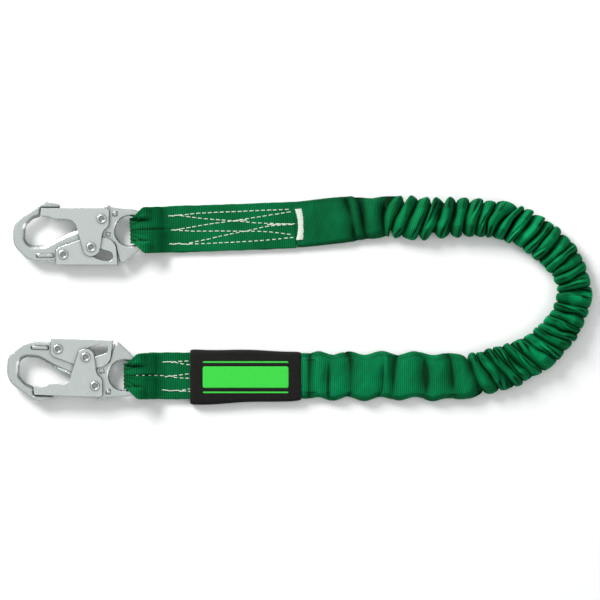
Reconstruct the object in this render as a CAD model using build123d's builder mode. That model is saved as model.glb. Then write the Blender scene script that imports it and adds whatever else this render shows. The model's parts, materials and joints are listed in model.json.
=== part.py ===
from build123d import *
import os
from math import cos, radians, sin, sqrt, tan

# Shock absorbing lanyard with a snap hook at each end, laid flat in a U on the ground.
# Millimetres. +Z is up, X runs along the two legs, and the hooks are at the -X end.

# Webbing, sleeve and what the sleeve holds: sizes, then heights above the ground
WEB_WIDTH = 44.5
WEB_THICK = 2.4
UPPER_LEG_TILT = 2.2
LOWER_Y = -72.6
UPPER_TAIL_X = 158.5
LOWER_TAIL_X = 168.8
LOOP_WIDTH = 24.0
LOOP_CLEARANCE = 6.7
LOOP_FRONT_X = 0.5
LOOP_FLARE = (14.0, 24.0)
TAIL_START_X = 35.0
UPPER_BASE_Z = 0.3
LOWER_BASE_Z = 1.25
GATHER_WIDTH = 38.0
GATHER_HEIGHT = 20.0
UPPER_SLEEVE_WIDTH = 46.0
UPPER_SLEEVE_TOP = 6.6
LOWER_SLEEVE_TOP = 9.2
SOFT_GAP = 0.35
GROUND_GAP = 0.1
CORE_WIDTH = 26.0
CORE_THICK = 2.2
UPPER_CORE_Z = 3.1
LOWER_CORE_Z = 5.8
ELASTIC_WIDTH = 7.0
ELASTIC_THICK = 1.4
ELASTIC_SPREAD = 16.0
ELASTIC_Z = 8.0
THREAD_WIDTH = 0.9
THREAD_HEIGHT = 0.45

# Label cover on the lower leg
COVER_CORNERS = [(-104.7, -100.6), (0.9, -96.2), (0.9, -49.0), (-104.7, -46.8)]
COVER_THICK = 9.5
COVER_SKIN = 0.8
PAGES_SIZE = (92.0, 40.0, 1.5)

# Snap hook: the thickness of each layer from the middle plane outwards
HOOK_MID_Z = 9.2
BODY_HALF = 4.0
LEVER_INNER = 4.2
LEVER_OUTER = 5.6
GATE_INNER = 5.8
GATE_OUTER = 7.4
EYE_RADIUS = 14.0
EYE_RIM_RADIUS = 20.2
RIVET_SHANK_RADIUS = 2.9
RIVET_RUNNING_GAP = 0.05
RIVET_SEAT_GAP = 0.02
RIVET_HEAD_RADIUS = 4.4
RIVET_HEAD_HEIGHT = 1.5
SPRING_WIRE = 1.2

# Hook frame: origin at the eye's centre, -X towards the nose, +Y towards the gate
GATE_PIVOT = (-26.5, 11.1)
LOCK_PIN = (-36.4, -15.9)
LEVER_PIVOT = (-63.2, -22.8)
GATE_TIP_RADIUS = 58.6
PIN_CLEAR_RADIUS = 25.0
BOSS_RADIUS = 8.4

UPPER_EYE = (-162.4, 66.0)
LOWER_EYE = (-168.3, -71.8)
LOWER_HOOK_TURN = 2.0

upper_hook_plane = Plane(origin=(*UPPER_EYE, HOOK_MID_Z), x_dir=(1, 0, 0), z_dir=(0, 0, 1))
lower_hook_plane = Plane(
    origin=(*LOWER_EYE, HOOK_MID_Z),
    x_dir=(cos(radians(LOWER_HOOK_TURN)), -sin(radians(LOWER_HOOK_TURN)), 0),
    z_dir=(0, 0, -1),
)

# Each leg has its own frame: origin on the ground under the eye's centre, +X along the strap
upper_leg_plane = Plane(
    origin=(*UPPER_EYE, 0),
    x_dir=(cos(radians(UPPER_LEG_TILT)), sin(radians(UPPER_LEG_TILT)), 0),
    z_dir=(0, 0, 1),
)
lower_leg_plane = Plane(origin=(LOWER_EYE[0], LOWER_Y, 0), x_dir=(1, 0, 0), z_dir=(0, 0, 1))

# The sleeve's middle line, seen from above: out of the upper leg, round the bend and back
GATHER_START_X = 258.0
GATHER_TURN_X = 354.0
BEND_ROUTE = [
    (245.0, 58.0),
    (266.6, 7.3),
    (248.1, -44.3),
    (195.6, -68.4),
    (160.0, LOWER_Y + 0.3),
]
SLEEVE_END_X = 2.0
GATHER_END_X = 162.0
UPPER_CORE_END_X = 326.0

os.makedirs("parts", exist_ok=True)


def save(part, name):
    part.label = name
    export_step(part, f"parts/{name}.step")


def polar(center, radius, angle):
    return (center[0] + radius * cos(radians(angle)), center[1] + radius * sin(radians(angle)))


def x_on_circle(center, radius, y):
    """The left-hand x of a circle at the height y."""
    return center[0] - sqrt(radius**2 - (y - center[1]) ** 2)


def route_radii(points):
    """The largest tangent arc that the runs beside each corner leave room for."""
    radii = []
    for before, corner, after in zip(points, points[1:], points[2:]):
        arriving = Vector(corner[0] - before[0], corner[1] - before[1])
        leaving = Vector(after[0] - corner[0], after[1] - corner[1])
        half_turn = arriving.get_angle(leaving) / 2
        radii.append(0.45 * min(arriving.length, leaving.length) / tan(radians(half_turn)))
    return radii


def route_start_plane(points, height):
    run = Vector(points[1][0] - points[0][0], points[1][1] - points[0][1], 0)
    side = Vector(0, 0, 1).cross(run)
    return Plane(origin=(*points[0], height), x_dir=side, z_dir=run)


def route_strip(points, width, thickness, height, side=0.0, corner=0.0):
    """A strip with one section all along a level route of straight runs and tangent arcs."""
    with BuildPart(mode=Mode.PRIVATE) as strip:
        with BuildLine():
            FilletPolyline(*[(x, y, height) for x, y in points], radius=route_radii(points))
        with BuildSketch(route_start_plane(points, height)):
            with Locations((side, 0)):
                if corner:
                    RectangleRounded(width, thickness, corner)
                else:
                    Rectangle(width, thickness)
        sweep()
    return strip.part


# ---------------------------------------------------------------- snap hook


def rounded_face(corners):
    """A face from its corners, each given as x, y and the radius of its tangent arc."""
    points = [(x, y) for x, y, r in corners]
    radii = [r for x, y, r in corners]
    with BuildSketch() as face:
        with BuildLine():
            FilletPolyline(*points, radius=radii, close=True)
        make_face()
    return face.sketch


def tangent_corner(center, radius, first_angle, last_angle):
    """The corner whose arc of this radius is centred on center between the two angles."""
    half = (last_angle - first_angle) / 2
    return (*polar(center, radius / cos(radians(half)), first_angle + half), radius)


THROAT_CORNERS = [
    (-34.9, 7.4, 3.0),
    (-66.0, -5.3, 40.0),
    (-82.5, -13.9, 12.0),
    (-100.0, -13.9, 8.0),
    (-99.8, 4.6, 9.0),
    (-92.5, 11.4, 8.0),
]


def body_outline():
    """The forged body: bow, nose with its lip, shank, stop lug, eye and rear guard."""
    eye_turn = 68.5
    eye_corners = [
        tangent_corner((0, 0), EYE_RIM_RADIUS, angle, angle + eye_turn) for angle in (-47.0, 21.5)
    ]
    corners = [
        # lip and outside of the bow
        (-66.2, 22.0, 1.5),
        (-67.0, 25.6, 1.4),
        (-82.5, 28.2, 9.0),
        (-111.4, 9.2, 19.0),
        (-111.4, -14.0, 16.0),
        (-96.0, -29.3, 20.0),
        # underside of the shank, open for the lock pin's travel
        (-54.6, -29.5, 6.5),
        (-44.6, -6.7, 2.5),
        tangent_corner(GATE_PIVOT, PIN_CLEAR_RADIUS, -126, -72),
        # rear guard behind the lock lever
        (-14.6, -11.3, 1.5),
        (-8.4, -33.8, 3.0),
        *[(x, y, 0.92 * r) for x, y, r in eye_corners],
        (-5.0, EYE_RIM_RADIUS + 0.8, 12.0),
        # stop lug beside the gate pivot, then the pivot's boss
        (-17.4, 22.7, 3.0),
        (-19.8, 24.7, 2.0),
        (-23.8, 24.7, 1.5),
        (-25.0, 19.5, 1.5),
        tangent_corner(GATE_PIVOT, BOSS_RADIUS, 90, 180),
        # inside of the bow and the nose's face, which the gate's tip closes on
        *THROAT_CORNERS,
        (-86.1, 13.5, 1.3),
        (-85.1, 22.0, 1.3),
    ]
    return rounded_face(corners)


def forged_body(plane, name):
    bevel_depth = 1.9
    bevel_angle = 56
    edge_radius = 1.2
    eye_edge_radius = 2.2
    closing_corners = [(-80.0, 17.0, 3.0), (-34.9, 17.0, 3.0)]

    def on_face(edge):
        return abs(abs(plane.to_local_coords(edge @ 0.5).Z) - BODY_HALF) < 0.01

    with BuildPart() as body:
        with BuildSketch(plane):
            add(body_outline())
        extrude(amount=BODY_HALF, both=True)
        fillet(body.edges().filter_by(on_face), radius=edge_radius)
        # broad bevel round the inside of the bow
        for side in (1, -1):
            side_plane = Plane(plane.origin, x_dir=plane.x_dir, z_dir=side * plane.z_dir)
            corners = [(x, side * y, r) for x, y, r in THROAT_CORNERS + closing_corners]
            with BuildSketch(side_plane.offset(BODY_HALF - bevel_depth)):
                add(rounded_face(corners))
            extrude(amount=bevel_depth + 0.2, taper=-bevel_angle, mode=Mode.SUBTRACT)
        with BuildSketch(plane):
            Circle(EYE_RADIUS)
            with Locations(GATE_PIVOT, LEVER_PIVOT):
                Circle(RIVET_SHANK_RADIUS + RIVET_RUNNING_GAP)
        extrude(amount=BODY_HALF, both=True, mode=Mode.SUBTRACT)
        rims = body.edges().filter_by(GeomType.CIRCLE).filter_by(on_face)
        fillet(rims.filter_by(lambda e: abs(e.radius - EYE_RADIUS) < 0.01), radius=eye_edge_radius)
    save(body.part, name)


def gate_outline():
    tip_top = (x_on_circle(GATE_PIVOT, GATE_TIP_RADIUS, 21.5), 21.5)
    tip_low = (x_on_circle(GATE_PIVOT, GATE_TIP_RADIUS, 14.0), 14.0)
    with BuildSketch() as outline:
        with BuildLine():
            Line(tip_top, (-22.4, 21.5))
            ThreePointArc((-22.4, 21.5), (-20.1, 20.4), (-19.4, 18.2))
            Line((-19.4, 18.2), (-19.8, 6.6))
            ThreePointArc((-19.8, 6.6), (-21.4, 3.2), (-24.0, 1.0))
            ThreePointArc((-24.0, 1.0), (-26.0, -3.2), (-26.6, -8.0))
            Line((-26.6, -8.0), (-28.6, -18.4))
            ThreePointArc((-28.6, -18.4), (-35.4, -24.2), (-43.4, -20.6))
            Line((-43.4, -20.6), (-50.0, 1.6))
            ThreePointArc((-50.0, 1.6), (-53.2, 8.2), (-60.3, 11.0))
            Line((-60.3, 11.0), (-72.0, 11.4))
            ThreePointArc((-72.0, 11.4), (-77.6, 13.4), tip_low)
            ThreePointArc(tip_low, (x_on_circle(GATE_PIVOT, GATE_TIP_RADIUS, 18.0), 18.0), tip_top)
        make_face()
    return outline.sketch


def gate(plane, name):
    """A stamped channel: two cheeks joined by a web along the top edge."""
    web_underside = 20.0
    with BuildPart() as part:
        with BuildSketch(plane):
            add(gate_outline())
        extrude(amount=GATE_OUTER, both=True)
        with BuildSketch(plane):
            with Locations((-60.0, web_underside)):
                Rectangle(120.0, 60.0, align=(Align.CENTER, Align.MAX))
            with Locations((-28.0, web_underside)):
                Rectangle(40.0, 10.0, align=(Align.MIN, Align.CENTER))
        extrude(amount=GATE_INNER, both=True, mode=Mode.SUBTRACT)
        with BuildSketch(plane):
            with Locations(GATE_PIVOT, LOCK_PIN):
                Circle(RIVET_SHANK_RADIUS + RIVET_SEAT_GAP)
        extrude(amount=GATE_OUTER, both=True, mode=Mode.SUBTRACT)
    save(part.part, name)


def lever_outline():
    with BuildSketch() as outline:
        with BuildLine():
            Line((-70.2, -32.5), (-70.2, -18.6))
            Line((-70.2, -18.6), (-67.4, -15.6))
            Line((-67.4, -15.6), (-46.0, -8.4))
            Line((-46.0, -8.4), (-26.0, -6.4))
            ThreePointArc((-26.0, -6.4), (-17.6, -9.0), (-12.8, -16.4))
            Line((-12.8, -16.4), (-11.6, -32.5))
            Line((-11.6, -32.5), (-70.2, -32.5))
        make_face()
    return outline.sketch


def slot_outline():
    """The lock slot: the pin's seat at its upper left, then the free way to the lower right."""
    with BuildSketch() as outline:
        with BuildLine():
            ThreePointArc((-39.8, -16.0), (-37.2, -12.6), (-33.4, -14.2))
            Line((-33.4, -14.2), (-26.6, -17.4))
            Line((-26.6, -17.4), (-20.4, -19.4))
            ThreePointArc((-20.4, -19.4), (-15.8, -23.8), (-21.4, -28.9))
            ThreePointArc((-21.4, -28.9), (-29.4, -27.4), (-36.0, -23.8))
            ThreePointArc((-36.0, -23.8), (-38.8, -20.4), (-39.8, -16.0))
        make_face()
    return outline.sketch


def lock_lever(plane, name):
    """A stamped channel over the shank: two cheeks joined by a web along the outer edge."""
    web_top = -31.0
    web_end = -13.4
    with BuildPart() as part:
        with BuildSketch(plane):
            add(lever_outline())
        extrude(amount=LEVER_OUTER, both=True)
        with BuildSketch(plane):
            with Locations((-40.0, web_top)):
                Rectangle(80.0, 40.0, align=(Align.CENTER, Align.MIN))
            with Locations((web_end, -30.0)):
                Rectangle(10.0, 20.0, align=(Align.MIN, Align.CENTER))
        extrude(amount=LEVER_INNER, both=True, mode=Mode.SUBTRACT)
        with BuildSketch(plane):
            add(slot_outline())
            with Locations(LEVER_PIVOT):
                Circle(RIVET_SHANK_RADIUS + RIVET_SEAT_GAP)
        extrude(amount=LEVER_OUTER, both=True, mode=Mode.SUBTRACT)
    save(part.part, name)


def rivet(plane, center, head_base, name):
    """A tubular rivet with a dished head on both sides."""
    edge = RIVET_HEAD_RADIUS
    shank = RIVET_SHANK_RADIUS
    top = head_base + RIVET_HEAD_HEIGHT
    floor = top - 0.8
    dish = 0.68 * edge
    dish_floor = 0.7 * dish
    axis_plane = Plane(
        origin=plane.from_local_coords(Vector(*center, 0)), x_dir=plane.x_dir, z_dir=plane.y_dir
    )
    with BuildPart() as part:
        with BuildSketch(axis_plane):
            with BuildLine():
                Line((shank, 0), (shank, head_base))
                Line((shank, head_base), (edge, head_base))
                Line((edge, head_base), (edge, top - 0.7))
                ThreePointArc((edge, top - 0.7), (edge - 0.25, top - 0.22), (edge - 0.8, top))
                Line((edge - 0.8, top), (dish, top))
                Line((dish, top), (dish_floor, floor))
                Line((dish_floor, floor), (0, floor))
                mirror(about=Plane.XZ)
                Line((0, floor), (0, -floor))
            make_face()
        revolve(axis=Axis(axis_plane.origin, plane.z_dir))
    save(part.part, name)


def gate_spring(plane, name):
    """A wire torsion spring on the gate pivot, between the body and one cheek of the gate."""
    level = (BODY_HALF + GATE_INNER) / 2
    coil = 5.0
    arm_length = 19.0
    leg_length = 9.0
    spring_plane = plane.offset(level)
    arm_foot = polar(GATE_PIVOT, coil, 125)
    arm_end = polar(arm_foot, arm_length, 215)
    leg_foot = polar(GATE_PIVOT, coil, -60)
    leg_end = polar(leg_foot, leg_length, 210)
    with BuildPart() as part:
        with BuildLine(spring_plane):
            Line(arm_end, arm_foot)
            ThreePointArc(arm_foot, polar(GATE_PIVOT, coil, 30), leg_foot)
            Line(leg_foot, leg_end)
        start = spring_plane.from_local_coords(Vector(*arm_end, 0))
        run = spring_plane.from_local_coords(Vector(*arm_foot, 0)) - start
        with BuildSketch(Plane(origin=start, z_dir=run)):
            Circle(SPRING_WIRE / 2)
        sweep()
    save(part.part, name)


def lock_spring(plane, name):
    """A bent wire that lies on the lever's web and pushes against the shank."""
    foot = (-19.0, -30.2)
    bend = (-33.0, -27.6)
    top = (-45.2, -21.4)
    bend_radius = 30
    with BuildPart() as part:
        with BuildLine(plane):
            FilletPolyline(foot, bend, top, radius=bend_radius)
        start = plane.from_local_coords(Vector(*foot, 0))
        run = plane.from_local_coords(Vector(*bend, 0)) - start
        with BuildSketch(Plane(origin=start, z_dir=run)):
            Circle(SPRING_WIRE / 2)
        sweep()
    save(part.part, name)


def snap_hook(plane, prefix):
    forged_body(plane, f"{prefix}_body")
    gate(plane, f"{prefix}_gate")
    lock_lever(plane, f"{prefix}_lock_lever")
    rivet(plane, GATE_PIVOT, GATE_OUTER, f"{prefix}_gate_pivot")
    rivet(plane, LOCK_PIN, GATE_OUTER, f"{prefix}_lock_pin")
    rivet(plane, LEVER_PIVOT, LEVER_OUTER, f"{prefix}_lever_pivot")
    gate_spring(plane, f"{prefix}_gate_spring")
    lock_spring(plane, f"{prefix}_lock_spring")


# ---------------------------------------------------------------- webbing


def end_loop(leg, base, tail_x, name):
    """Webbing folded round the eye's rim and laid back on itself as a tail of two layers."""
    low = HOOK_MID_Z - LOOP_CLEARANCE
    high = HOOK_MID_Z + LOOP_CLEARANCE
    top = base + 2 * WEB_THICK
    # the front is folded almost to a half circle; the tail's corners are barely broken
    fold = 0.98
    soft_bend = 30.0
    tail_edge = 0.4
    fold_radius = fold * (LOOP_CLEARANCE + WEB_THICK)
    profile_plane = Plane(leg.origin, x_dir=leg.x_dir, z_dir=-leg.y_dir)
    outside = [
        (LOOP_FRONT_X, low - WEB_THICK, fold_radius),
        (LOOP_FRONT_X, high + WEB_THICK, fold_radius),
        (20.8, high + WEB_THICK, 6.0),
        (TAIL_START_X, top, 8.0),
        (tail_x, top, tail_edge),
        (tail_x, base, tail_edge),
        (TAIL_START_X + 5.0, base, soft_bend),
        (17.5, low - WEB_THICK, soft_bend),
    ]
    inside = [
        (LOOP_FRONT_X + WEB_THICK, low, fold * LOOP_CLEARANCE),
        (LOOP_FRONT_X + WEB_THICK, high, fold * LOOP_CLEARANCE),
        (19.5, high, 4.0),
        (TAIL_START_X - 2.0, base + WEB_THICK + 0.5, 0.3),
        (17.5, low, soft_bend),
    ]
    half = WEB_WIDTH / 2
    narrow = LOOP_WIDTH / 2
    plan = [(0, -narrow), (LOOP_FLARE[0], -narrow), (LOOP_FLARE[1], -half), (tail_x + 1, -half)]
    plan += [(x, -y) for x, y in reversed(plan)]
    with BuildPart() as part:
        with BuildSketch(profile_plane):
            add(rounded_face(outside))
            add(rounded_face(inside), mode=Mode.SUBTRACT)
        extrude(amount=half, both=True)
        with BuildSketch(leg):
            Polygon(*plan, align=None)
        extrude(amount=2 * HOOK_MID_Z + WEB_THICK, mode=Mode.INTERSECT)
    save(part.part, name)


def threads(leg, lines, height, name):
    """Raised sewing thread along straight lines of stitches."""
    with BuildPart() as part:
        with BuildSketch(leg.offset(height)):
            for start, end in lines:
                with BuildLine():
                    run = Line(start, end)
                with Locations(run.position_at(0.5)):
                    Rectangle(run.length, THREAD_WIDTH, rotation=run.tangent_angle_at(0.5))
        extrude(amount=THREAD_HEIGHT)
    save(part.part, name)


def slab(leg, low, high):
    """A block in a leg's own frame from its lowest to its highest corner."""
    with BuildPart(mode=Mode.PRIVATE) as block:
        with BuildSketch(leg.offset(low[2])):
            with Locations(((low[0] + high[0]) / 2, (low[1] + high[1]) / 2)):
                Rectangle(high[0] - low[0], high[1] - low[1])
        extrude(amount=high[2] - low[2])
    return block.part


# The upper leg's last straight run shares its line with the start of the gathered sleeve
gather_start = upper_leg_plane.from_local_coords(Vector(GATHER_START_X, 0, 0))
gather_turn = upper_leg_plane.from_local_coords(Vector(GATHER_TURN_X, 0, 0))
sleeve_route = [(gather_start.X, gather_start.Y), (gather_turn.X, gather_turn.Y)] + BEND_ROUTE
core_route = sleeve_route + [(SLEEVE_END_X + 3.0, LOWER_Y)]
hollow_route = sleeve_route + [(SLEEVE_END_X - 3.0, LOWER_Y)]


# ---------------------------------------------------------------- sleeve

with BuildPart() as main_sleeve:
    gather_middle = GATHER_HEIGHT / 2 + GROUND_GAP
    add(route_strip(sleeve_route, GATHER_WIDTH, GATHER_HEIGHT, gather_middle, corner=8.0))
    with BuildSketch(Plane.YZ.offset(SLEEVE_END_X)):
        with Locations((LOWER_Y, (LOWER_SLEEVE_TOP + UPPER_BASE_Z) / 2)):
            RectangleRounded(WEB_WIDTH, LOWER_SLEEVE_TOP - UPPER_BASE_Z, 2.5)
    extrude(amount=GATHER_END_X - SLEEVE_END_X)
    # the hollow: a tall one for everything in the gathers, a low one for the core alone
    hollow_low = UPPER_CORE_Z - CORE_THICK / 2 - SOFT_GAP
    hollow_high = ELASTIC_Z + ELASTIC_THICK / 2 + SOFT_GAP
    hollow_middle = (hollow_low + hollow_high) / 2
    hollow_width = CORE_WIDTH + 2 * SOFT_GAP
    add(
        route_strip(sleeve_route, hollow_width, hollow_high - hollow_low, hollow_middle),
        mode=Mode.SUBTRACT,
    )
    add(
        route_strip(hollow_route, hollow_width, CORE_THICK + 2 * SOFT_GAP, LOWER_CORE_Z),
        mode=Mode.SUBTRACT,
    )
save(main_sleeve.part, "main_sleeve")

with BuildPart() as upper_sleeve:
    half_width = UPPER_SLEEVE_WIDTH / 2
    add(
        slab(
            upper_leg_plane,
            (UPPER_TAIL_X + SOFT_GAP, -half_width, UPPER_BASE_Z),
            (GATHER_START_X - 2.0, half_width, UPPER_SLEEVE_TOP),
        )
    )
    fillet(upper_sleeve.edges().filter_by(Axis(Vector(0, 0, 0), upper_leg_plane.x_dir)), radius=2.4)
    add(
        slab(
            upper_leg_plane,
            (UPPER_TAIL_X + 6.0, -hollow_width / 2, UPPER_CORE_Z - CORE_THICK / 2 - SOFT_GAP),
            (GATHER_START_X, hollow_width / 2, UPPER_CORE_Z + CORE_THICK / 2 + SOFT_GAP),
        ),
        mode=Mode.SUBTRACT,
    )
save(upper_sleeve.part, "upper_sleeve")

with BuildPart() as upper_core:
    add(
        slab(
            upper_leg_plane,
            (UPPER_TAIL_X + 8.0, -CORE_WIDTH / 2, UPPER_CORE_Z - CORE_THICK / 2),
            (UPPER_CORE_END_X, CORE_WIDTH / 2, UPPER_CORE_Z + CORE_THICK / 2),
        )
    )
save(upper_core.part, "upper_core_webbing")

save(route_strip(core_route, CORE_WIDTH, CORE_THICK, LOWER_CORE_Z), "lower_core_webbing")

with BuildPart() as elastics:
    for side in (-ELASTIC_SPREAD / 2, ELASTIC_SPREAD / 2):
        add(route_strip(sleeve_route, ELASTIC_WIDTH, ELASTIC_THICK, ELASTIC_Z, side=side))
save(elastics.part, "elastic_bands")

end_loop(upper_leg_plane, UPPER_BASE_Z, UPPER_TAIL_X, "upper_end_loop")
end_loop(lower_leg_plane, LOWER_BASE_Z, LOWER_TAIL_X, "lower_end_loop")


# ---------------------------------------------------------------- sewing

UPPER_STITCHES = [
    ((39.5, 13.2), (40.6, -1.0)),
    ((40.6, -1.0), (39.2, -14.1)),
    ((46.0, 13.0), (157.0, 15.4)),
    ((46.0, 13.0), (157.0, 0.7)),
    ((40.6, -1.0), (157.0, 12.9)),
    ((40.6, -1.0), (157.0, -10.0)),
    ((56.7, -14.8), (157.0, 0.7)),
    ((39.2, -14.1), (157.0, -12.3)),
]
LOWER_STITCHES = [(start, (end[0] + 3.0, end[1])) for start, end in UPPER_STITCHES]
threads(upper_leg_plane, UPPER_STITCHES, UPPER_BASE_Z + 2 * WEB_THICK, "upper_stitching")
threads(lower_leg_plane, LOWER_STITCHES, LOWER_BASE_Z + 2 * WEB_THICK, "lower_stitching")

with BuildPart() as bar_tack:
    add(
        slab(
            upper_leg_plane,
            (UPPER_TAIL_X + 0.8, -14.3, UPPER_SLEEVE_TOP),
            (UPPER_TAIL_X + 8.0, 14.1, UPPER_SLEEVE_TOP + 2 * THREAD_HEIGHT),
        )
    )
save(bar_tack.part, "upper_bar_tack")


# ---------------------------------------------------------------- label cover

cover_hollow = WEB_WIDTH + 2 * SOFT_GAP
with BuildPart() as label_cover:
    with BuildSketch():
        Polygon(*COVER_CORNERS, align=None)
        fillet(vertices(), radius=3.0)
    extrude(amount=COVER_THICK)
    with BuildSketch(Plane.YZ.offset(COVER_CORNERS[0][0] - 1.0)):
        with Locations((LOWER_Y, COVER_THICK / 2)):
            Rectangle(cover_hollow, COVER_THICK - 2 * COVER_SKIN)
    extrude(amount=COVER_CORNERS[1][0] - COVER_CORNERS[0][0] + 2.0, mode=Mode.SUBTRACT)
save(label_cover.part, "label_cover")

pages_middle = (COVER_CORNERS[0][0] + COVER_CORNERS[1][0]) / 2
pages_z = COVER_THICK - COVER_SKIN - 0.2 - PAGES_SIZE[2] / 2
with BuildPart() as label_pages:
    with Locations((pages_middle, LOWER_Y, pages_z)):
        Box(*PAGES_SIZE)
save(label_pages.part, "label_pages")


# ---------------------------------------------------------------- hooks

snap_hook(upper_hook_plane, "upper_hook")
snap_hook(lower_hook_plane, "lower_hook")
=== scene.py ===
import json
import math

import bpy
import numpy as np
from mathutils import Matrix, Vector


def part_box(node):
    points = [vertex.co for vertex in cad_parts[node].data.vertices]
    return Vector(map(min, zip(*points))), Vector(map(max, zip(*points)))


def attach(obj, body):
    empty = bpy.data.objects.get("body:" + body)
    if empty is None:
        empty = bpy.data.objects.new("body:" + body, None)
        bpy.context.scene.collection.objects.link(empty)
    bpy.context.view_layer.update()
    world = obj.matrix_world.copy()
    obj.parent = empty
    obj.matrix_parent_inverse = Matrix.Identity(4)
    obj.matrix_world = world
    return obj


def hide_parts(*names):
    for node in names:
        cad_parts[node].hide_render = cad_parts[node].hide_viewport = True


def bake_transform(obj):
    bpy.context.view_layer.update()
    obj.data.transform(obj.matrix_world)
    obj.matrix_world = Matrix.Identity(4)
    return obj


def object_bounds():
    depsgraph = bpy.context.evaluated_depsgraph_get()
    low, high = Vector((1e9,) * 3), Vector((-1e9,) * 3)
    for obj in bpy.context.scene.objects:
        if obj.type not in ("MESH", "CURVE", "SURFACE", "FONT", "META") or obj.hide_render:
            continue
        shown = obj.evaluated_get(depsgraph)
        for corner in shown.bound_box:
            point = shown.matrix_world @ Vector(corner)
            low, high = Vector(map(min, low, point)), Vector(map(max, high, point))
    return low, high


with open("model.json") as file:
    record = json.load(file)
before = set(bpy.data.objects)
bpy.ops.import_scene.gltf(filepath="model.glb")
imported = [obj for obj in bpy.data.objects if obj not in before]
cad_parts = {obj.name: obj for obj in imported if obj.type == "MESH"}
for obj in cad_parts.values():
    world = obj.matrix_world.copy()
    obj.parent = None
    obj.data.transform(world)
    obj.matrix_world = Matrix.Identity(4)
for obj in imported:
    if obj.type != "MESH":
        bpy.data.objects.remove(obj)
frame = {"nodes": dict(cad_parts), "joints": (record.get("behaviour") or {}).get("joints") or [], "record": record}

# Shock absorbing lanyard with two snap hooks. Lengths in the geometry code are millimetres
# and become metres when a mesh is made. +Z is up; the lanyard lies on the ground.
MM = 0.001
cad_low, cad_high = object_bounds()
scene = bpy.context.scene

# ---- camera

LENS = 135.0
SENSOR = 36.0
VIEW_WIDTH = 0.573
camera_data = bpy.data.cameras.new("camera")
camera_data.lens = LENS
camera_data.sensor_width = SENSOR
camera = bpy.data.objects.new("camera", camera_data)
scene.collection.objects.link(camera)
object_middle = (cad_low.z + cad_high.z) / 2
camera.location = (0.0, 0.0, VIEW_WIDTH * LENS / SENSOR + object_middle)
scene.camera = camera
scene.view_settings.view_transform = "Standard"
scene.view_settings.look = "None"

# ---- node materials


class Nodes:
    """A small helper round one material's node tree."""

    def __init__(self, name):
        self.material = bpy.data.materials.new(name)
        self.material.use_nodes = True
        self.tree = self.material.node_tree
        self.shader = self.tree.nodes["Principled BSDF"]

    def add(self, kind, **settings):
        node = self.tree.nodes.new(kind)
        for key, value in settings.items():
            setattr(node, key, value)
        return node

    def link(self, source, target):
        self.tree.links.new(source, target)

    def feed(self, socket, value):
        """A socket takes a number, a colour or another node's output."""
        if isinstance(value, bpy.types.NodeSocket):
            self.link(value, socket)
        else:
            socket.default_value = value

    def math(self, operation, a, b=0.0, clamp=False):
        node = self.add("ShaderNodeMath", operation=operation, use_clamp=clamp)
        self.feed(node.inputs[0], a)
        self.feed(node.inputs[1], b)
        return node.outputs[0]

    def mix(self, factor, a, b, blend="MIX"):
        node = self.add("ShaderNodeMix", data_type="RGBA", blend_type=blend)
        self.feed(node.inputs["Factor"], factor)
        self.feed(node.inputs[6], a)
        self.feed(node.inputs[7], b)
        return node.outputs[2]

    def ramp(self, value, low, high, out_low=0.0, out_high=1.0):
        node = self.add("ShaderNodeMapRange", clamp=True)
        self.feed(node.inputs["Value"], value)
        node.inputs["From Min"].default_value = low
        node.inputs["From Max"].default_value = high
        node.inputs["To Min"].default_value = out_low
        node.inputs["To Max"].default_value = out_high
        return node.outputs[0]

    def noise(self, scale, detail=3.0, vector=None, rough=0.5):
        node = self.add("ShaderNodeTexNoise")
        node.inputs["Scale"].default_value = scale
        node.inputs["Detail"].default_value = detail
        node.inputs["Roughness"].default_value = rough
        if vector is None:
            vector = self.add("ShaderNodeTexCoord").outputs["Object"]
        self.link(vector, node.inputs["Vector"])
        return node.outputs[0]

    def uv(self):
        split = self.add("ShaderNodeSeparateXYZ")
        self.link(self.add("ShaderNodeTexCoord").outputs["UV"], split.inputs[0])
        return split.outputs[0], split.outputs[1]

    def wave(self, value, pitch, phase=0.0):
        """0 to 1 along value, once every pitch millimetres."""
        turns = self.math("MULTIPLY", value, 2 * math.pi / (pitch * MM))
        sine = self.math("SINE", self.math("ADD", turns, phase))
        return self.ramp(sine, -1, 1)

    def bump(self, height, depth, strength=1.0, before=None):
        node = self.add("ShaderNodeBump")
        node.inputs["Strength"].default_value = strength
        node.inputs["Distance"].default_value = depth * MM
        self.link(height, node.inputs["Height"])
        if before is not None:
            self.link(before, node.inputs["Normal"])
        self.link(node.outputs[0], self.shader.inputs["Normal"])
        return node.outputs[0]

    def crease(self, low, high):
        """0 in hollows, 1 on crests."""
        return self.ramp(self.add("ShaderNodeNewGeometry").outputs["Pointiness"], low, high)

    def set(self, **values):
        names = {
            "color": "Base Color",
            "rough": "Roughness",
            "metal": "Metallic",
            "sheen": "Sheen Weight",
            "specular": "Specular IOR Level",
        }
        for key, value in values.items():
            self.feed(self.shader.inputs[names[key]], value)


WARP_PITCH = 0.62
THREAD_TWIST = 0.55
CLOTH_PITCH = 0.5


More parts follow.
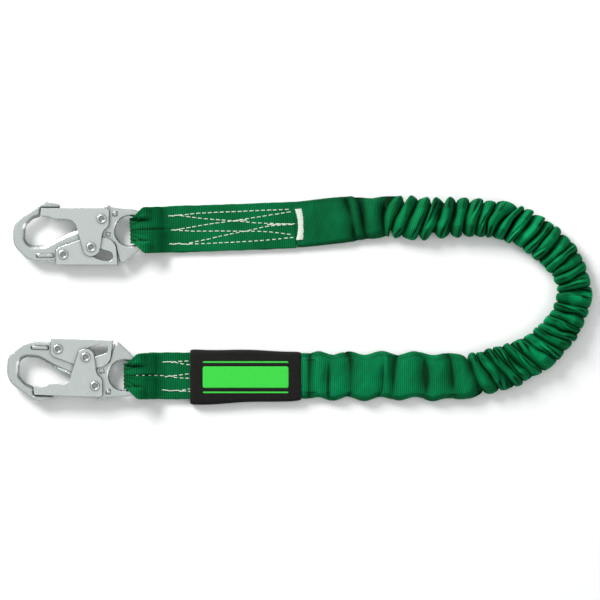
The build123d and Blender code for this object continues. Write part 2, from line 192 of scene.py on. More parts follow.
def webbing_material(name, dark, base, light, rib=1.5, rib_shade=0.45, rib_depth=0.22):
    """Ribbed narrow weave: ribs across the length, fine warp threads along it, with painted shade in the mesh's
    folds and hollows and painted highlight patches.
    """
    n = Nodes(name)
    along, across = n.uv()
    wander = n.noise(90.0, 2.0)
    along = n.math("ADD", along, n.math("MULTIPLY", wander, 0.0012))
    ribs = n.wave(along, rib)
    warp = n.wave(across, WARP_PITCH)
    cross = n.math("MULTIPLY", ribs, n.ramp(warp, 0, 1, 0.72, 1.0))
    fibre = n.noise(2600.0, 3.0)
    # painted highlight: broad patches of the light colour stand in for highlights
    highlight_patches = n.noise(30.0, 3.0)
    blotch = n.noise(180.0, 4.0)
    body = n.mix(n.ramp(highlight_patches, 0.32, 0.68), base, light)
    body = n.mix(n.ramp(blotch, 0.3, 0.75, 0.0, 0.35), body, base)
    weave = n.math("MULTIPLY", n.ramp(cross, 0, 1, 1.0 - rib_shade, 1.0), n.ramp(fibre, 0.25, 0.75, 0.86, 1.08))
    shaded = n.mix(weave, dark, body)
    # painted shade: darker in folds by the mesh's fold attribute, then darker in hollows by pointiness
    painted_fold_shade = n.add("ShaderNodeAttribute", attribute_name="fold_shade").outputs["Fac"]
    shaded = n.mix(n.ramp(painted_fold_shade, 0.0, 0.95, 0.0, 0.95), shaded, dark)
    n.set(color=n.mix(n.crease(0.455, 0.5), dark, shaded), rough=n.ramp(fibre, 0, 1, 0.68, 0.9))
    n.set(sheen=0.0, specular=0.08)
    first = n.bump(n.noise(240.0, 3.0), 0.5, 0.35)
    second = n.bump(cross, rib_depth, 0.8, first)
    n.bump(fibre, 0.05, 0.6, second)
    return n.material


def thread_material(name, base, dark):
    """Twisted sewing thread, a little grimy."""
    n = Nodes(name)
    along, across = n.uv()
    twist = n.wave(n.math("ADD", along, across), THREAD_TWIST)
    grime = n.noise(400.0, 3.0)
    shade = n.math("MULTIPLY", n.ramp(twist, 0, 1, 0.55, 1.0), n.ramp(grime, 0.3, 0.6, 0.8, 1.0))
    n.set(color=n.mix(shade, dark, base), rough=n.ramp(grime, 0, 1, 0.5, 0.7), sheen=0.2, specular=0.35)
    n.bump(twist, 0.12, 0.8)
    return n.material


CORNER_SHADE_REACH = 4.5


def steel_material(name, base, dark, rough_low, rough_high, edge):
    """Zinc-plated steel: cloudy plating, fine scuffs, painted shade in corners and crevices, painted dark outlines
    on edges, edges worn round to a radius of edge.
    """
    n = Nodes(name)
    cloud = n.noise(140.0, 4.0)
    grain = n.noise(1900.0, 4.0, rough=0.65)
    stretch = n.add("ShaderNodeMapping")
    stretch.inputs["Scale"].default_value = (260.0, 2600.0, 900.0)
    stretch.inputs["Rotation"].default_value = (0.0, 0.0, 0.35)
    n.link(n.add("ShaderNodeTexCoord").outputs["Object"], stretch.inputs[0])
    scuff = n.noise(1.0, 2.0, stretch.outputs[0])
    tone = n.mix(n.ramp(cloud, 0.35, 0.7), base, tuple(0.88 * c for c in base[:3]) + (1.0,))
    tone = n.mix(n.ramp(scuff, 0.62, 0.78, 0.0, 0.35), tone, dark)
    # painted shade: darker where parts meet and in corners, by ambient occlusion
    contact_shade = n.add("ShaderNodeAmbientOcclusion", samples=8)
    contact_shade.inputs["Distance"].default_value = CORNER_SHADE_REACH * MM
    tone = n.mix(n.ramp(contact_shade.outputs["AO"], 0.40, 0.97, 0.0, 1.0), dark, tone)
    bevel = n.add("ShaderNodeBevel", samples=6)
    bevel.inputs["Radius"].default_value = edge * MM
    worn = bevel.outputs[0]
    # painted shade: dark outlines where the rounded edges turn away from the face
    edge_shade_facing = n.add("ShaderNodeVectorMath", operation="DOT_PRODUCT")
    n.link(worn, edge_shade_facing.inputs[0])
    n.link(n.add("ShaderNodeNewGeometry").outputs["Normal"], edge_shade_facing.inputs[1])
    tone = n.mix(n.ramp(edge_shade_facing.outputs["Value"], 0.80, 0.985, 0.12, 1.0), dark, tone)
    rough = n.math("ADD", n.ramp(cloud, 0.3, 0.7, rough_low, rough_high), n.ramp(scuff, 0.55, 0.8, 0.0, 0.12))
    # painted shade in crevices, by pointiness
    n.set(color=n.mix(n.crease(0.42, 0.495), dark, tone), rough=rough, metal=1.0)
    first = n.bump(grain, 0.004, 0.3, worn)
    n.bump(cloud, 0.1, 0.2, first)
    return n.material


def label_material(name, dark, light):
    """Coated nylon cloth: a fine plain weave, matt, with worn lighter edges."""
    n = Nodes(name)
    along, across = n.uv()
    weave = n.math("MULTIPLY", n.wave(along, CLOTH_PITCH), n.wave(across, CLOTH_PITCH))
    dust = n.noise(320.0, 5.0)
    worn = n.math("MULTIPLY", n.crease(0.52, 0.6), 0.6)
    pale = n.math("ADD", n.ramp(dust, 0.5, 0.8, 0.0, 0.5), worn, clamp=True)
    n.set(color=n.mix(pale, dark, light), rough=n.ramp(dust, 0.2, 0.8, 0.5, 0.75), sheen=0.0, specular=0.14)
    first = n.bump(n.noise(70.0, 2.0), 0.6, 0.3)
    n.bump(weave, 0.08, 0.7, first)
    return n.material


def print_material(name, base, dark):
    """Screen print on woven cloth: the weave shows through."""
    n = Nodes(name)
    along, across = n.uv()
    weave = n.math("MULTIPLY", n.wave(along, CLOTH_PITCH), n.wave(across, CLOTH_PITCH))
    patchy = n.noise(500.0, 4.0)
    shade = n.math("MULTIPLY", n.ramp(weave, 0, 1, 0.85, 1.0), n.ramp(patchy, 0.2, 0.5, 0.8, 1.0))
    n.set(color=n.mix(shade, dark, base), rough=n.ramp(patchy, 0, 1, 0.45, 0.65), specular=0.35)
    n.bump(weave, 0.08, 0.7)
    return n.material


# the dark webbing colour is painted shade for creases and between the ribs; the light one paints highlight patches
WEB_SHADE = (0.0, 0.014, 0.003, 1.0)
WEB_BASE = (0.0, 0.130, 0.035, 1.0)
WEB_HIGHLIGHT = (0.0, 0.200, 0.063, 1.0)
green = webbing_material("green_webbing", WEB_SHADE, WEB_BASE, WEB_HIGHLIGHT, 2.1, 0.62, 0.34)
# the sleeve's colours are raised as painted light so that its gathered crests read brighter; painted shade darkens
# its flat parts back
sleeve_green = webbing_material(
    "sleeve_webbing", WEB_SHADE, (0.0, 0.345, 0.104, 1), (0.0, 0.585, 0.203, 1), 2.0, 0.5, 0.3
)
core_white = webbing_material(
    "core_webbing", (0.12, 0.12, 0.11, 1), (0.55, 0.55, 0.50, 1), (0.68, 0.68, 0.63, 1), 1.8
)
elastic_grey = webbing_material(
    "elastic", (0.02, 0.02, 0.02, 1), (0.09, 0.09, 0.09, 1), (0.14, 0.14, 0.14, 1), 0.9
)
thread_white = thread_material("sewing_thread", (0.78, 0.82, 0.74, 1), (0.25, 0.33, 0.24, 1))
forged = steel_material("forged_steel", (0.74, 0.78, 0.77, 1), (0.12, 0.135, 0.13, 1), 0.20, 0.30, 3.2)
stamped = steel_material("stamped_steel", (0.80, 0.84, 0.83, 1), (0.13, 0.145, 0.14, 1), 0.20, 0.30, 0.9)
rivet_steel = steel_material("rivet_steel", (0.70, 0.73, 0.72, 1), (0.09, 0.1, 0.1, 1), 0.26, 0.36, 0.5)
spring_steel = steel_material("spring_steel", (0.42, 0.42, 0.41, 1), (0.08, 0.08, 0.08, 1), 0.3, 0.42, 0.3)
label_black = label_material("label_cloth", (0.006, 0.0055, 0.005, 1), (0.022, 0.021, 0.019, 1))
label_paper = label_material("label_paper", (0.55, 0.55, 0.52, 1), (0.75, 0.75, 0.72, 1))
print_green = print_material("label_print", (0.03, 0.62, 0.045, 1), (0.01, 0.25, 0.02, 1))

SLOT_LOOKS = {
    "forged_steel": forged,
    "stamped_steel": stamped,
    "rivet_steel": rivet_steel,
    "spring_steel": spring_steel,
    "green_webbing": green,
    "core_webbing": core_white,
    "elastic": elastic_grey,
    "thread": thread_white,
    "label_fabric": label_black,
    "label_paper": label_paper,
}
for entry in frame["record"]["subparts"]:
    node = frame["nodes"][entry["node"]]
    node.data.materials.clear()
    node.data.materials.append(SLOT_LOOKS[entry["material_slot"]])

# ---- mesh tools


def piece(name, verts, faces, uvs, look):
    """A smooth mesh from millimetre vertices, with one UV per vertex, in metres of cloth."""
    mesh = bpy.data.meshes.new(name)
    mesh.from_pydata((np.asarray(verts, float) * MM).tolist(), [], faces)
    layer = mesh.uv_layers.new(name="UVMap")
    corner = np.zeros(len(mesh.loops), np.int32)
    mesh.loops.foreach_get("vertex_index", corner)
    layer.data.foreach_set("uv", (np.asarray(uvs, float)[corner] * MM).astype(np.float32).ravel())
    mesh.polygons.foreach_set("use_smooth", np.ones(len(mesh.polygons), bool))
    mesh.validate()
    mesh.update()
    made = bpy.data.objects.new(name, mesh)
    scene.collection.objects.link(made)
    mesh.materials.append(look)
    return made


def section_shares(top, side, bottom):
    """A flattened tube's section: each point's share across (-1 to 1), its share up and its side rounding."""
    turn = np.radians(np.linspace(90, -90, side + 2)[1:-1])
    there, back = np.linspace(-1, 1, top), np.linspace(1, -1, bottom)
    across = np.concatenate([there, np.ones(side), back, -np.ones(side)])
    upright = np.concatenate([np.ones(top), np.sin(turn), -np.ones(bottom), -np.sin(turn)])
    round_side = np.concatenate([np.zeros(top), np.cos(turn), np.zeros(bottom), -np.cos(turn)])
    return across, upright, round_side


def tube_faces(rings, around):
    """Quads between rings of points, and one cap at each end."""
    faces = []
    for k in range(rings - 1):
        for j in range(around):
            a, b = k * around + j, k * around + (j + 1) % around
            faces.append((a, b, b + around, a + around))
    faces.append(tuple(range(around - 1, -1, -1)))
    last = (rings - 1) * around
    faces.append(tuple(range(last, last + around)))
    return faces


def slab_faces(columns, rows):
    """Faces of a slab whose points are a top grid, then a bottom grid, each column by column."""
    size = columns * rows
    faces = []
    for i in range(columns - 1):
        for j in range(rows - 1):
            a = i * rows + j
            b = size + a
            faces.append((a, a + rows, a + rows + 1, a + 1))
            faces.append((b, b + 1, b + rows + 1, b + rows))
    rim = [i * rows for i in range(columns)]
    rim += [(columns - 1) * rows + j for j in range(1, rows)]
    rim += [i * rows + rows - 1 for i in range(columns - 2, -1, -1)]
    rim += list(range(rows - 2, 0, -1))
    for a, b in zip(rim, rim[1:] + rim[:1]):
        faces.append((a, size + a, size + b, b))
    return faces


def tube(name, rings, u_rings, v_ring, look, fold_shade):
    """A closed tube from rings of shape (rings, around, 3); the last argument is each point's painted shade, from
    how deep it lies in a fold.
    """
    count, around = rings.shape[:2]
    uvs = np.zeros((count, around, 2))
    uvs[..., 0] = u_rings
    uvs[..., 1] = v_ring
    faces = tube_faces(count, around)
    made = piece(name, rings.reshape(-1, 3), faces, uvs.reshape(-1, 2), look)
    # the painted shade is stored on the mesh for the webbing material
    layer = made.data.attributes.new("fold_shade", "FLOAT", "POINT")
    layer.data.foreach_set("value", fold_shade.astype(np.float32).ravel())
    return made


def smooth_step(x, low, high):
    t = np.clip((np.asarray(x, float) - low) / (high - low), 0, 1)
    return t * t * (3 - 2 * t)


def spline(points, step):
    """Points every step millimetres or so on a smooth line through the given points."""
    p = np.asarray(points, float)
    p = np.vstack([2 * p[0] - p[1], p, 2 * p[-1] - p[-2]])
    out = []
    for a, b, c, d in zip(p, p[1:], p[2:], p[3:]):
        count = max(2, int(np.linalg.norm(c - b) / step))
        t = (np.arange(count) / count)[:, None]
        out.append(
            0.5 * (2 * b + (c - a) * t + (2 * a - 5 * b + 4 * c - d) * t**2 + (3 * b - a - 3 * c + d) * t**3)
        )
    out.append(p[-2][None])
    return np.vstack(out)


def length_along(points):
    return np.r_[0, np.cumsum(np.linalg.norm(np.diff(points, axis=0), axis=1))]


class Ripple:
    """Seeded smooth noise of one or two numbers, about -1 to 1."""

    def __init__(self, seed, terms=5):
        rng = np.random.default_rng(seed)
        self.k = rng.normal(size=(terms, 2))
        self.phase = rng.uniform(0, 2 * math.pi, terms)
        self.gain = 1.6 / terms

    def __call__(self, x, y=0.0):
        total = 0.0
        for (a, b), phase in zip(self.k, self.phase):
            total = total + np.sin(a * np.asarray(x) + b * np.asarray(y) + phase)
        return total * self.gain


# ---- where the legs lie

UPPER_TILT = math.radians(2.2)
LOWER_HOOK_TURN = math.radians(2.0)
GATE_PIVOT = (-26.5, 11.1)
joint_places = {joint["name"]: np.array(joint["pos_m"]) / MM for joint in frame["joints"] if "pos_m" in joint}
HOOK_MID = joint_places["upper_gate_swing"][2]


class HookFrame:
    """A hook's own frame: origin at the eye's centre, -x to the nose, y to the gate, z up from its middle."""

    def __init__(self, pivot, x, y, side):
        self.x, self.y, self.side = np.array(x), np.array(y), side
        self.eye = pivot[:2] - GATE_PIVOT[0] * self.x - GATE_PIVOT[1] * self.y

    def place(self, points):
        p = np.asarray(points, float)
        out = p.copy()
        out[..., :2] = self.eye + p[..., 0:1] * self.x + p[..., 1:2] * self.y
        out[..., 2] = HOOK_MID + self.side * p[..., 2]
        return out


turn_cos, turn_sin = math.cos(LOWER_HOOK_TURN), math.sin(LOWER_HOOK_TURN)
upper_hook = HookFrame(joint_places["upper_gate_swing"], (1, 0), (0, 1), 1)
lower_hook = HookFrame(
    joint_places["lower_gate_swing"], (turn_cos, -turn_sin), (-turn_sin, -turn_cos), -1
)
strap_low, strap_high = (np.array(v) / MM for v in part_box("lower_end_loop"))
UPPER_EYE = upper_hook.eye
LOWER_EYE = np.array([lower_hook.eye[0], (strap_low[1] + strap_high[1]) / 2])


class Leg:
    """A leg's own frame: x along the strap from the eye's centre, y across it, z up."""

    def __init__(self, origin, tilt):
        self.origin = origin
        self.x = np.array([math.cos(tilt), math.sin(tilt)])
        self.y = np.array([-math.sin(tilt), math.cos(tilt)])

    def place(self, points):
        p = np.asarray(points, float)
        out = p.copy()
        out[..., :2] = self.origin + p[..., 0:1] * self.x + p[..., 1:2] * self.y
        return out


upper_leg = Leg(UPPER_EYE, UPPER_TILT)
lower_leg = Leg(LOWER_EYE, 0.0)

# ---- end loops

WEB_HALF = 22.2
WEB_THICK = 2.3


LOOP_REACH = 8.15
TOP_THROAT_HALF = 12.4
LOW_THROAT_HALF = 12.0


def loop_outline(base, tail_x):
    """The webbing's middle line seen from the side: under the hook, round its eye and back over the top."""
    middle = WEB_THICK / 2
    front = 0.5 + middle
    top = base + 1.5 * WEB_THICK + 0.15
    low = base + middle + 0.02
    return spline([
        (tail_x - 0.3, low), (120, low), (80, low), (46, low), (32, low + 0.1), (22, 1.6 if base < 1 else 2.2),
        (14, HOOK_MID - LOOP_REACH + 0.1), (8.6, HOOK_MID - LOOP_REACH + 0.15), (4.2, HOOK_MID - 6.2),
        (front + 0.35, HOOK_MID - 3.2), (front - 0.05, HOOK_MID), (front + 0.35, HOOK_MID + 3.2),
        (4.2, HOOK_MID + 6.2), (8.6, HOOK_MID + LOOP_REACH - 0.2), (14, HOOK_MID + LOOP_REACH),
        (19.0, HOOK_MID + LOOP_REACH - 0.9), (25.5, HOOK_MID + 3.2), (31.0, top + 2.4), (37.5, top + 0.15),
        (48, top), (80, top), (120, top), (tail_x, top),
    ], 1.1)


def end_loop(name, leg, base, tail_x, seed):
    """Webbing folded round the hook's eye and laid back on itself as a doubled tail."""
    middle = WEB_THICK / 2
    line = loop_outline(base, tail_x)
    along = length_along(line)
    tangent = np.gradient(line, axis=0)
    tangent /= np.linalg.norm(tangent, axis=1)[:, None]
    normal = np.stack([tangent[:, 1], -tangent[:, 0]], 1)
    a, b, bulge = section_shares(34, 5, 34)
    x = line[:, 0:1]
    ragged, lumps, drift = Ripple(seed), Ripple(seed + 1), Ripple(seed + 2)
    raised = smooth_step(abs(line[:, 1:2] - HOOK_MID), 3.0, 8.5)
    is_top = np.arange(len(line))[:, None] > len(line) // 2
    # narrow inside the eye, full width once past the hook's rim
    top_half = TOP_THROAT_HALF + (WEB_HALF - TOP_THROAT_HALF) * smooth_step(x, 4.0, 15.0)
    low_half = LOW_THROAT_HALF + (WEB_HALF - LOW_THROAT_HALF) * smooth_step(x, 14.0, 24.0)
    half = np.where(is_top, top_half, low_half)
    half = np.where((x < 16) & (raised < 1), 12.2 + (half - 12.2) * raised, half)
    half = half + 0.28 * ragged(along[:, None] / 3.2, 0.0)
    lateral = a[None] * (half - middle * 0.6) + bulge[None] * middle * 0.6
    lateral = lateral + 0.35 * drift(along[:, None] / 22.0)
    share = a[None]
    pinch = 1 - smooth_step(x, 4.0, 30.0)
    folds = -pinch * 0.75 * (0.5 + 0.5 * np.cos(share * 6.2 * math.pi + ragged(along[:, None] / 9.0)))
    off_centre = share * 22 - 1.0
    lips = 1.2 * np.exp(-((off_centre / 1.2) ** 2)) - 1.2 * np.exp(-((off_centre / 5.0) ** 2))
    centre_fold = lips * smooth_step(x, 1, 6) * (1 - smooth_step(x, 24, 48))
    # painted shade: a dark line along the top's centre fold, dark inside the hook's eye, and a ragged dark band at
    # the loop's front
    crease = np.exp(-((off_centre / 1.1) ** 2)) * (1 - smooth_step(x, 20, 34)) * is_top
    eye_shade = 0.85 * (1 - smooth_step(x, 0.8, 3.2))
    front_shade = 0.35 * (1 - smooth_step(x, 3.0, 9.0)) * np.abs(ragged(share * 6.0))
    wave = 0.22 * lumps(along[:, None] / 11.0, share * 1.6) * (x > 30)
    # the shoulders stand clear of the hook's rim, so that the hook can swing
    shoulder = -4.2 * smooth_step(np.abs(lateral), 9.8, 12.2) * (1 - smooth_step(x, 14.0, 22.0)) * raised
    lift = folds * 0.8 + np.where(is_top, centre_fold + wave + shoulder, 0)
    offset = b[None] * middle + lift
    rings = np.zeros((len(line), len(a), 3))
    rings[..., 0] = line[:, 0:1] + normal[:, 0:1] * offset
    rings[..., 2] = line[:, 1:2] + normal[:, 1:2] * offset
    rings[..., 1] = lateral
    rings[..., 2] = np.maximum(rings[..., 2], base - 0.15)
    fold_shade = np.clip(crease + eye_shade + front_shade, 0, 1) * 0.95
    return tube(name, leg.place(rings), along[:, None], lateral, green, fold_shade)


upper_strap = end_loop("upper_strap", upper_leg, 0.3, 158.5, 11)
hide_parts("upper_end_loop")
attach(upper_strap, "upper_leg")
lower_strap = end_loop("lower_strap", lower_leg, 1.25, 168.8, 21)
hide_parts("lower_end_loop")
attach(lower_strap, "main")

# ---- sewing


THREAD_SIDES = 8
THREAD_FLATNESS = 0.75


class Threads:
    """Gathers rounded thread pieces into one mesh."""

    def __init__(self):
        self.verts, self.faces, self.uvs = [], [], []

    def strand(self, points, radius):
        """A thread along points (x, y, z), thin at both ends."""
        p = spline(points, 0.6)
        n = len(p)
        t = np.gradient(p, axis=0)
        t /= np.linalg.norm(t, axis=1)[:, None]
        side = np.stack([-t[:, 1], t[:, 0], np.zeros(n)], 1)
        side /= np.maximum(np.linalg.norm(side, axis=1), 1e-6)[:, None]
        up = np.cross(t, side)
        q = np.linspace(-1, 1, n)
        size = radius * np.sqrt(np.clip(1 - 0.93 * np.abs(q) ** 6, 0.02, 1))
        base = sum(len(v) for v in self.verts)
        angle = np.linspace(0, 2 * math.pi, THREAD_SIDES, endpoint=False)
        ring = (
            p[:, None]
            + side[:, None] * (size[:, None] * np.cos(angle))[..., None]
            + up[:, None] * (size[:, None] * np.sin(angle) * THREAD_FLATNESS)[..., None]
        )
        self.verts.append(ring.reshape(-1, 3))
        for face in tube_faces(n, THREAD_SIDES):
            self.faces.append(tuple(base + i for i in face))
        uv = np.zeros((n, THREAD_SIDES, 2))
        uv[..., 0] = length_along(p)[:, None]
        uv[..., 1] = angle / (2 * math.pi)
        self.uvs.append(uv.reshape(-1, 2))

    def make(self, name, leg):
        verts = leg.place(np.vstack(self.verts))
        return piece(name, verts, self.faces, np.vstack(self.uvs), thread_white)


STITCH_PITCH = 5.7
STITCH_LENGTH = 4.0
THREAD_RADIUS = 0.44
SOLID_LENGTH = 3.8
SOLID_PITCH = 2.7
SOLID_RADIUS = 0.46
# Each line of stitches on the tail's top, from where it starts to where it ends
STITCH_LINES = [
    [(46.0, 13.4), (73.0, 14.6), (102.0, 14.7), (132.0, 14.9), (158.0, 14.8)],
    [(47.5, 13.1), (63.0, 10.3), (82.0, 7.8), (106.0, 5.2), (125.0, 2.8), (158.0, 0.6)],
    [(47.0, 0.1), (78.0, 3.9), (105.0, 6.6), (132.0, 9.9), (158.0, 12.9)],
    [(46.3, -1.2), (64.0, -2.6), (84.0, -3.3), (111.0, -4.4), (132.0, -5.9), (158.0, -9.9)],
    [(55.3, -13.8), (77.0, -10.1), (91.0, -7.3), (112.5, -4.0), (132.0, -0.5), (158.0, 0.5)],
    [(55.3, -14.4), (70.0, -14.8), (111.0, -14.2), (131.0, -13.6), (157.0, -12.0)],
]
# Where a line is sewn over itself, so that the thread shows without a break
SOLID_LINES = [
    [(36.8, 13.2), (42.0, 13.2), (47.5, 13.3)],
    [(38.9, -0.9), (43.0, -0.5), (48.0, 0.2)],
    [(36.3, -13.7), (45.0, -14.1), (56.5, -14.5)],
    [(98.0, 5.9), (105.0, 6.1), (112.0, 6.2)],
    [(131.0, 0.5), (141.0, 1.2), (158.5, 0.7)],
]


def sew(name, leg, top, shift, seed, extra=(), rise=((0.0, 0.0), (1.0, 0.0))):
    """Lockstitches, each a rounded thread that dips into the webbing at its ends.

    rise is how far the webbing stands above the tail's top, against the distance from the eye.
    """
    rng = np.random.default_rng(seed)
    threads = Threads()

    def stitch(path, along, first, last, bow, radius):
        start, end = ([np.interp(s, along, path[:, i]) for i in (0, 1)] for s in (first, last))
        run = np.subtract(end, start)
        across = np.array([-run[1], run[0]]) / np.linalg.norm(run)
        points = []
        for share, height in ((0, -0.35), (0.14, 0.12), (0.5, 0.34), (0.86, 0.12), (1, -0.35)):
            xy = start + run * share + across * bow * math.sin(math.pi * share)
            points.append((xy[0], xy[1], top + height + np.interp(xy[0], *zip(*rise))))
        threads.strand(points, radius)

    for line in [*STITCH_LINES, *extra]:
        path = spline(line[:-1] + [(line[-1][0] + shift, line[-1][1])], 0.5)
        along = length_along(path)
        at = float(rng.uniform(0, 1.0))
        while at + STITCH_LENGTH < along[-1]:
            long = STITCH_LENGTH + rng.uniform(-0.35, 0.35)
            stitch(path, along, at, at + long, rng.uniform(-0.16, 0.16), THREAD_RADIUS)
            at += STITCH_PITCH + rng.uniform(-0.25, 0.25)
    for line in SOLID_LINES:
        path = spline([(x + (shift if x > 90 else 0), y) for x, y in line], 0.5)
        along = length_along(path)
        at = 0.0
        while at < along[-1] - 1.5:
            last = min(at + SOLID_LENGTH, along[-1])
            stitch(path, along, at, last, rng.uniform(-0.55, 0.55), SOLID_RADIUS)
            at += SOLID_PITCH
    return threads.make(name, leg)


upper_threads = sew("upper_threads", upper_leg, 5.05, 0.0, 31)
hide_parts("upper_stitching")
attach(upper_threads, "upper_leg")
lower_threads = sew(
    "lower_threads", lower_leg, 6.0, 3.0, 32,
    extra=[[(11.0, 1.0), (24.0, 0.7), (37.0, 0.3)]],
    rise=[(8.6, 12.55), (14.0, 12.6), (19.0, 11.65), (25.5, 7.6), (31.0, 2.7), (37.5, 0.5), (46.0, 0.0)],
)
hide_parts("lower_stitching")
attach(lower_threads, "main")


def bar_tack():
    """Dense satin stitches that close the sleeve on the tail's end, with a loose thread end."""
    rng = np.random.default_rng(41)
    threads = Threads()
    low, high = -14.6, 14.4
    count = 56
    top = 6.35
    for k in range(count):
        y = low + (high - low) * k / (count - 1)
        bow = 2.0 * (1 - (y / 15.0) ** 2)
        left = 157.9 + 1.1 * bow + rng.uniform(-0.3, 0.3)
        right = 164.9 + bow + rng.uniform(-0.5, 0.5)
        points = [
            (left, y, top - 0.5),
            (left + 0.8, y + 0.1, top + 0.55),
            ((left + right) / 2, y + 0.22, top + 0.85 + rng.uniform(-0.08, 0.08)),
            (right - 0.8, y + 0.34, top + 0.5),
            (right, y + 0.45, top - 0.4),
        ]
        threads.strand(points, 0.36)
    loose_end = [
        (166.0, 3.0, top + 0.3), (168.4, 2.2, top + 0.75), (170.6, 2.6, top + 0.7), (172.2, 1.6, top + 0.45),
    ]
    threads.strand(loose_end, 0.34)
    return threads.make("bar_tack", upper_leg)


tack = bar_tack()
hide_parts("upper_bar_tack")
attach(tack, "upper_leg")

# ---- sleeve

# The sleeve's middle line on the ground, from the upper tail round the bend to the label
ROUTE = [
    tuple(upper_leg.place((x, y, 0.0))[:2])
    for x, y in ((157.6, 0.0), (180.0, 1.4), (204.0, 3.1), (216.0, 3.8), (232.0, 3.0), (248.0, 4.6))
] + [
    (105.0, 78.2), (127.0, 78.0), (157.0, 79.0), (181.0, 78.0), (203.0, 73.0), (224.0, 62.5),
    (244.0, 46.0), (257.0, 28.5), (262.0, 9.0), (259.5, -8.5), (251.0, -24.0), (239.5, -38.0),
    (224.5, -51.0), (206.0, -60.5), (187.0, -67.0), (167.0, -71.6), (148.0, -73.4), (120.0, -72.9),
    (90.0, -72.6), (60.0, -72.6), (30.0, -72.6), (-1.2, -72.6),
]
route = spline(ROUTE, 0.7)
route_length = length_along(route)
TOTAL = route_length[-1]
route_tangent = np.gradient(route, axis=0)
kernel = np.hanning(25)
kernel /= kernel.sum()
for axis in (0, 1):
    padded = np.pad(route_tangent[:, axis], 12, mode="edge")
    route_tangent[:, axis] = np.convolve(padded, kernel, "valid")
route_tangent /= np.linalg.norm(route_tangent, axis=1)[:, None]


def at_route(values, s):
    return np.interp(s, route_length, values)


# Section by distance from the upper end: distance, half width, top height, side rounding
GATHER_START = 98.0
CORE_START = 101.0
GATHER_END = TOTAL - 168.0
SECTION = np.array([
    (0.0, 21.8, 6.9, 2.6),
    (6.0, 22.2, 7.2, 2.8),
    (30.0, 22.2, 8.4, 3.6),
    (56.0, 21.8, 10.0, 4.8),
    (68.0, 20.0, 11.4, 6.2),
    (78.0, 19.4, 12.6, 7.5),
    (GATHER_START - 8.0, 19.6, 14.0, 9.0),
    (GATHER_START + 8.0, 21.4, 17.6, 10.5),
    (GATHER_START + 40.0, 20.2, 19.0, 11.0),
    (GATHER_START + 72.0, 17.6, 19.4, 10.6),
    (GATHER_START + 105.0, 18.4, 19.8, 11.0),
    (GATHER_START + 150.0, 18.6, 19.8, 11.0),
    (GATHER_START + 190.0, 17.0, 19.6, 10.5),
    (GATHER_START + 225.0, 17.0, 19.6, 10.5),
    (GATHER_START + 270.0, 19.0, 19.6, 11.0),
    (GATHER_END - 30.0, 21.0, 19.2, 11.0),
    (GATHER_END - 3.0, 21.8, 17.0, 9.5),
    (GATHER_END + 12.0, 22.0, 13.4, 6.4),
    (GATHER_END + 40.0, 22.2, 12.6, 5.4),
    (TOTAL - 60.0, 22.2, 12.2, 5.0),
    (TOTAL - 34.0, 22.2, 11.6, 4.8),
    (TOTAL - 14.0, 22.0, 9.9, 4.0),
    (TOTAL - 5.0, 21.8, 8.9, 3.4),
    (TOTAL, 21.6, 8.5, 3.2),
])


def section_at(s, column):
    return np.interp(s, SECTION[:, 0], SECTION[:, column])


def make_pleats(seed):
    """Rows of valleys: place, lead of the outer end, bow, depth on top and at the sides, roundness."""
    rng = np.random.default_rng(seed)
    rows = []
    # the flat start, with a few soft folds
    for s, lead, bow, top, side in (
        (-4.0, 0, 0, 0.0, 0.0),
        (22.0, -2, 1, 0.06, 0.0),
        (55.0, -5, 1, 0.42, 0.01),
        (65.0, -6, -1, 0.46, 0.05),
        (87.0, 5, 4, 0.40, 0.05),
    ):
        rows.append([s, lead, bow, top, side, 0.8])
    s = GATHER_START
    while s < GATHER_END - 3.0:
        share = (s - GATHER_START) / (GATHER_END - GATHER_START)
        pitch = np.interp(share, [0.0, 0.2, 0.36, 0.6, 1.0], [13.2, 12.2, 11.0, 9.6, 9.8])
        lead = np.interp(share, [0.0, 0.3, 0.5, 0.62, 0.8, 1.0], [6.0, 5.0, 1.0, -2.5, -7.0, -8.5])
        top = rng.uniform(0.44, 0.62)
        side = np.interp(share, [0.0, 0.18, 0.3, 1.0], [0.42, 0.34, 0.19, 0.17]) * rng.uniform(0.7, 1.15)
        loose = np.interp(share, [0.0, 0.3, 0.6, 0.85], [0.7, 1.5, 1.4, 0.8])
        rows.append(
            [s, lead + rng.normal(0, loose), rng.normal(0.2, loose), top, side, rng.uniform(0.55, 0.95)]
        )
        wide = 1.7 if rng.uniform() < 0.16 and share > 0.3 else 1.0
        s += pitch * rng.uniform(0.82, 1.14) * wide
    # the flat end, whose creases bow and whose edges wave
    for back, lead, bow, top, side in (
        (168.0, -5.0, 0.0, 0.60, 0.22),
        (146.0, -3.0, 3.0, 0.34, 0.045),
        (120.0, -2.0, 5.0, 0.34, 0.035),
        (91.0, 2.0, -3.0, 0.36, 0.045),
        (79.0, 2.0, 5.0, 0.30, 0.015),
        (48.0, -1.0, 5.0, 0.36, 0.045),
        (30.0, 1.0, -5.0, 0.32, 0.020),
        (10.0, 0.0, -2.0, 0.30, 0.020),
        (-5.0, 0.0, 0.0, 0.0, 0.0),
    ):
        rows.append([TOTAL - back, lead, bow, top, side, 0.8])
    return np.array(rows)


PLEATS = make_pleats(5)
STEPS = 16
SLEEVE_POINTS = (46, 15, 30)
SHARE_ROUNDING = 0.55
# How far the sleeve stays clear of what it holds: above it, above it in the flat start, and beside it
OVER_CORE = 9.35
OVER_CORE_START = 4.8
BESIDE_CORE = 13.7
EDGE_WAVE = 1.8
WAVE_LENGTH = 31.0


